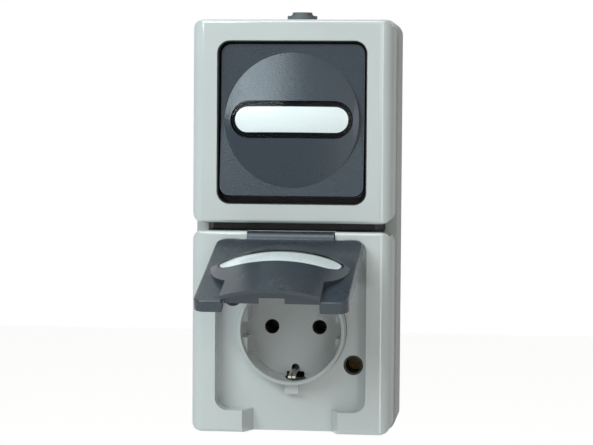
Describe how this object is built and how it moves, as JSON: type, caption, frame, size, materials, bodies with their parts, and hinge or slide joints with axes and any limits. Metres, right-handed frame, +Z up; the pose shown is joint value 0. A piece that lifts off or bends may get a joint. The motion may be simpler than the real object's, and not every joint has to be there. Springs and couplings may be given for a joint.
{
  "type": "surface-mounted light switch and earthed socket with hinged lid",
  "caption": "Splash-proof wall unit: a rocker light switch with a label window above an earthed round-well socket whose hinged lid stands open.",
  "frame": {"origin": "middle of the rear face that lies on the wall, at the centre of the four wall holes", "axes": "+Y into the wall, the front looks along -Y, +Z up, +X to the right of someone facing it"},
  "size_m": [0.08, 0.1086, 0.1662],
  "materials": {
    "housing": "light grey, glossy, injection moulded",
    "rocker": "blue-grey, finely textured",
    "lid": "blue-grey, finely textured",
    "seal": "soft dark grey",
    "grommet": "blue-grey, soft",
    "window": "clear, polished",
    "label": "plain white insert",
    "inner_light": "light grey, satin",
    "inner_dark": "dark grey, satin",
    "steel": "zinc plated",
    "brass": "plain brass",
    "contact": "nickel-plated brass",
    "stainless": "stainless pin"
  },
  "bodies": {
    "housing": {"base_box": "housing", "switch_cover_seal": "seal", "socket_cover_seal": "seal", "top_grommet": "grommet", "switch_cover": "housing", "rocker_lining": "seal", "joint_strip": "seal", "screw_sleeves": "seal", "switch_cover_screws": "brass", "switch_body": "inner_light", "switch_frame": "steel", "switch_fixing_screws": "steel", "fixed_contacts": "contact", "switch_terminal_screws": "steel", "socket_cover": "housing", "socket_cover_screws": "brass", "socket_insert": "housing", "socket_carrier": "inner_dark", "socket_fixing_screws": "steel", "socket_terminal_screws": "steel", "left_contact": "contact", "right_contact": "contact", "earth_strap": "contact", "hinge_pin": "stainless"},
    "rocker": {"rocker": "rocker", "rocker_window": "window", "rocker_label": "label", "rocker_cradle": "inner_dark", "switch_plunger": "steel"},
    "seesaw": {"contact_seesaw": "contact"},
    "lid": {"lid": "lid", "lid_window": "window", "lid_label": "label", "lid_gasket": "seal"}
  },
  "joints": [
    {"name": "rocker_tilt", "type": "hinge", "parent": "housing", "child": "rocker", "pos_m": [0, -0.0295, 0.04065], "axis": [1, 0, 0], "range_deg": [0, 8]},
    {"name": "seesaw_tilt", "type": "hinge", "parent": "housing", "child": "seesaw", "pos_m": [0, -0.018, 0.04065], "axis": [1, 0, 0], "range_deg": [-12, 0]},
    {"name": "lid_hinge", "type": "hinge", "parent": "housing", "child": "lid", "pos_m": [0, -0.0445, -0.0055], "axis": [-1, 0, 0], "range_deg": [-72, 33]}
  ],
  "couplings": [
    {"joint": "seesaw_tilt", "follows": "rocker_tilt", "ratio": -1.5}
  ]
}
